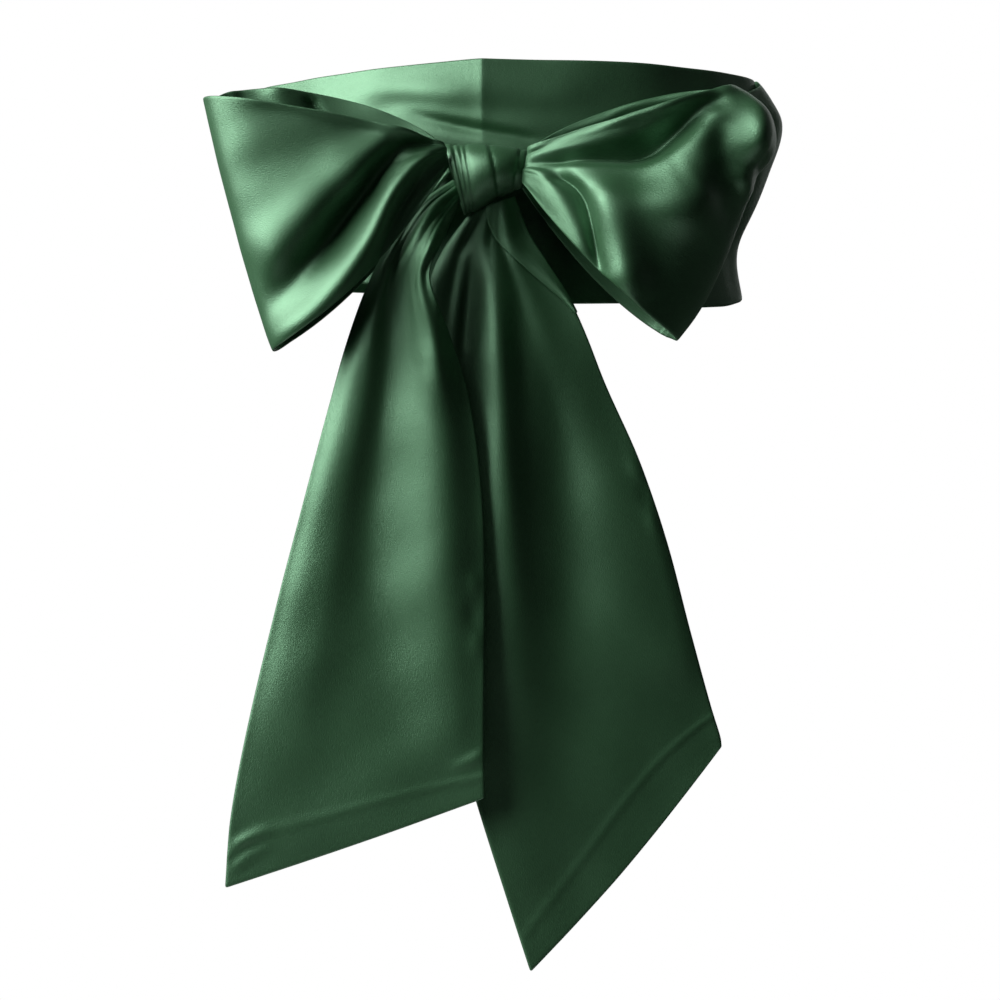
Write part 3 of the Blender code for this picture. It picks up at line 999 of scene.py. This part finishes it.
def tail(sections, folds, hem, belly, facing, right_edge_drop, pleats, seed):
    """The shape of a tail: straight across between its edges, with its folds raised to the front. Its slanted
    end bows down by its belly. Facing is how far its right edge stands forward of the middle, and its left
    edge back, so that it turns a little. Pleats is how deep the pleats at the knot are."""

    def shape(down, across):
        row = read(sections, down)
        arch = np.sin(np.pi * across)
        x = row["left_x"] + (row["right_x"] - row["left_x"]) * across
        z = row["left_z"] + (row["right_z"] - row["left_z"]) * across - belly * arch * ease(0.8, 1.0, down)
        lift = row["round"] * arch
        left_edge = LEFT_EDGE_DROP * np.exp(-((across / LEFT_EDGE_WIDTH) ** 2))
        right_edge = right_edge_drop * np.exp(-(((1 - across) / RIGHT_EDGE_WIDTH) ** 2))
        right_edge = right_edge * ease(0.2, 0.34, down)
        lift = lift - (left_edge + right_edge) * (1 - ease(0.6, 0.95, down))
        lift = lift + pleats * gathers(across, down, count=3, seed=seed)
        lift = lift + facing * (2 * across - 1) * ease(0.05, 0.4, down)
        lift = lift + sum(fold(x, z, line) for line in folds.values()) * ease(-0.02, 0.15, down)
        lift = lift + fold(x, z, hem)
        lift = lift + TAIL_UNEVENNESS * ease(0.0, 0.3, down) * unevenness(x, z, 46, seed)
        return np.stack([x, row["depth"] - lift, z], axis=1)

    return shape


left_tail = tail(
    LEFT_TAIL,
    LEFT_TAIL_FOLDS,
    LEFT_HEM,
    belly=0.8,
    facing=3,
    right_edge_drop=3.5,
    pleats=2.4,
    seed=5,
)
right_tail = tail(
    RIGHT_TAIL,
    RIGHT_TAIL_FOLDS,
    RIGHT_HEM,
    belly=4.5,
    facing=-6,
    right_edge_drop=2,
    pleats=1.3,
    seed=6,
)
# Each with the length of its longer and of its shorter edge, in metres.
for name, shape, length, shorter in (
    ("tail_left", left_tail, 0.378, 0.304),
    ("tail_right", right_tail, 0.415, 0.302),
):
    piece = cloth(name + "_satin", columns=162, rows=54, shape=shape, length=length)
    piece.data.materials.append(bow_satin)
    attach(piece, "root")
    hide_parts(name)

# ---------------------------------------------------------------------------
# The right tail's inner edge, which turns over to the front where it leaves the knot and lies flat on the
# tail, a narrow triangle of the cloth's other side.
# ---------------------------------------------------------------------------
# How far down the tail it goes, and which share of the tail's width it covers there.
TURNED_EDGE = table(
    "down share",
    (0.00, 0.62),
    (0.05, 0.40),
    (0.11, 0.20),
    (0.16, 0.07),
    (0.19, 0.015),
)
TURNED_LENGTH = 0.08            # in metres, as are its width and its area
TURNED_CLEARANCE = 1.6          # from the middle of the tail's cloth to the middle of its own
TURNED_SWELL = 1.6              # it stands off the tail along its middle by this much more
FREE_EDGE_LIFT = 0.6            # and along its free edge


def turned_edge(along, over):
    """Points of the turned edge, from the tail's edge over to its own free edge."""
    down = TURNED_EDGE["down"][-1] * along
    share = read(TURNED_EDGE, down)["share"]
    points = right_tail(down, 1 - share * over)
    points[:, 1] -= TURNED_CLEARANCE + TURNED_SWELL * np.sin(np.pi * over) + FREE_EDGE_LIFT * over
    return points


piece = cloth(
    "tail_right_turned_edge_satin",
    columns=50,
    rows=16,
    shape=turned_edge,
    length=TURNED_LENGTH,
)
piece.data.materials.append(bow_satin)
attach(piece, "root")
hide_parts("tail_right_turned_edge")

# ---------------------------------------------------------------------------
# The knot. The strip wraps once over the crossing and is drawn tight, so it narrows into a small barrel
# with a few pressed pleats. It is many layers of cloth with no filling, and holds the loops and the tails.
# ---------------------------------------------------------------------------
# Sections of the barrel from its left end at -1 to its right end at 1: the middle, half its height, half its
# depth, and how far it leans to the right for each step up.
KNOT_SECTIONS = table(
    "along x z tall deep lean",
    (-1.0, -26.2, -11.0, 18.4, 16.5, -0.29),
    (-0.5, -18.0, -9.8, 17.0, 20.0, -0.18),
    (0.0, -8.5, -7.7, 14.4, 21.6, -0.05),
    (0.5, 1.2, -6.4, 12.0, 20.0, 0.06),
    (1.0, 9.2, -5.5, 10.0, 15.5, 0.16),
)
KNOT_DEPTH = -116.0
# Where on the barrel each ring of the ball goes, by its angle from the pole: the ends are drawn in.
KNOT_OUTLINE = table(
    "polar along fullness",
    (0, 0.86, 0.00),
    (30, 0.88, 0.52),
    (48, 0.99, 0.86),
    (60, 0.97, 0.97),
    (75, 0.50, 1.00),
    (90, 0.00, 1.02),
)
UV_AROUND = 0.018               # metres of cloth for each radian round the barrel
UV_ALONG = 0.020                # and from its middle to its end
KNOT_PLEATS = (
    # along, drift with height, width on the smooth side, width under the edge, depth
    (-0.84, 0.04, 0.09, 0.020, 1.3),
    (-0.68, 0.05, 0.08, 0.020, 1.1),
    (-0.54, 0.03, 0.08, 0.020, 0.9),
    (0.12, -0.12, 0.10, 0.018, 0.9),
    (0.78, 0.03, 0.10, 0.030, 1.0),
)

bm = bmesh.new()
bmesh.ops.create_uvsphere(bm, u_segments=128, v_segments=160, radius=1.0)
mesh = bpy.data.meshes.new("knot_satin")
bm.to_mesh(mesh)
bm.free()
ball = points_of(mesh)
polar = np.degrees(np.arccos(np.clip(ball[:, 2], -1, 1)))
outline = read(KNOT_OUTLINE, np.minimum(polar, 180 - polar))
along = outline["along"] * np.where(polar < 90, 1, -1)
around = np.arctan2(ball[:, 1], ball[:, 0])
section = read(KNOT_SECTIONS, along)
groove = 0.0
for centre, drift, smooth_side, under_side, depth in KNOT_PLEATS:
    off = along - centre - drift * np.sin(around)
    groove = groove + depth * np.where(off > 0, np.exp(-off / smooth_side), np.exp(off / under_side))
full = outline["fullness"]
rise = np.sin(around) * (section["tall"] - groove) * full
points = np.stack(
    [
        section["x"] + section["lean"] * rise,
        KNOT_DEPTH + np.cos(around) * (section["deep"] - groove) * full,
        section["z"] + rise,
    ],
    axis=1,
)
mesh.vertices.foreach_set("co", (points * MM).ravel())
lay_strip(mesh, np.mod(around, 2 * np.pi) * UV_AROUND, along * UV_ALONG)
bm = bmesh.new()
bm.from_mesh(mesh)
bmesh.ops.recalc_face_normals(bm, faces=bm.faces)
bm.to_mesh(mesh)
bm.free()
mesh.shade_smooth()
knot = into_scene("knot_satin", mesh)
knot.data.materials.append(bow_satin)
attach(knot, "root")
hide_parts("knot")

# ---------------------------------------------------------------------------
# The studio: a plain pale floor well below, soft light from the upper left, a faint rim from the right and a
# weak light on the back.
# ---------------------------------------------------------------------------
CAMERA_AT = (-0.0028, -1.28, -0.174)
SENSOR = 36.0                   # its width, in millimetres
FOCAL_RATIO = 2.2857            # the focal length in widths of the picture

camera = into_scene("camera", bpy.data.cameras.new("camera"))
camera.location = CAMERA_AT
camera.rotation_euler = (math.radians(90), 0, 0)
camera.data.sensor_width = SENSOR
camera.data.lens = SENSOR * FOCAL_RATIO
bpy.context.scene.camera = camera

FLOOR = -1.02
FLOOR_RADIUS = 0.7

bm = bmesh.new()
bmesh.ops.create_circle(bm, cap_ends=True, segments=64, radius=FLOOR_RADIUS)
floor_mesh = bpy.data.meshes.new("floor")
bm.to_mesh(floor_mesh)
bm.free()
floor = into_scene("floor", floor_mesh)
floor.location = (0, 0, FLOOR)
paint = bpy.data.materials.new("floor_paint")
paint.use_nodes = True
matt = paint.node_tree.nodes["Principled BSDF"]
matt.inputs["Base Color"].default_value = (0.74, 0.74, 0.73, 1)
matt.inputs["Roughness"].default_value = 0.9
floor_mesh.materials.append(paint)


def softbox(name, at, target, size, power):
    """A rectangular soft light at a place, facing its target."""
    light = bpy.data.lights.new(name, "AREA")
    light.shape = "RECTANGLE"
    light.size, light.size_y = size
    light.energy = power
    lamp = into_scene(name, light)
    lamp.location = at
    lamp.rotation_euler = (Vector(target) - Vector(at)).to_track_quat("-Z", "Y").to_euler()


MIDDLE = (0, -0.1, -0.15)       # of the bow, which every light faces
softbox("key", (-1.50, -0.66, 0.75), MIDDLE, (1.6, 1.8), 87)
softbox("rim", (1.25, 0.55, 0.35), MIDDLE, (0.5, 1.2), 0.30)
softbox("back", (0.6, 2.1, 0.7), MIDDLE, (1.4, 1.4), 7)
softbox("fill", (-0.3, -2.0, 0.5), MIDDLE, (1.0, 1.0), 0.35)

# The backdrop is white to the camera, and sheds hardly any light of its own.
world = bpy.data.worlds.new("studio")
bpy.context.scene.world = world
world.use_nodes = True
sky = world.node_tree
rays = sky.nodes.new("ShaderNodeLightPath")
seen = sky.nodes.new("ShaderNodeMapRange")
seen.inputs["To Min"].default_value = 0.02
seen.inputs["To Max"].default_value = 1.0
sky.links.new(rays.outputs["Is Camera Ray"], seen.inputs["Value"])
sky.nodes["Background"].inputs["Color"].default_value = (1, 1, 1, 1)
sky.links.new(seen.outputs["Result"], sky.nodes["Background"].inputs["Strength"])
bpy.context.scene.view_settings.view_transform = "Standard"
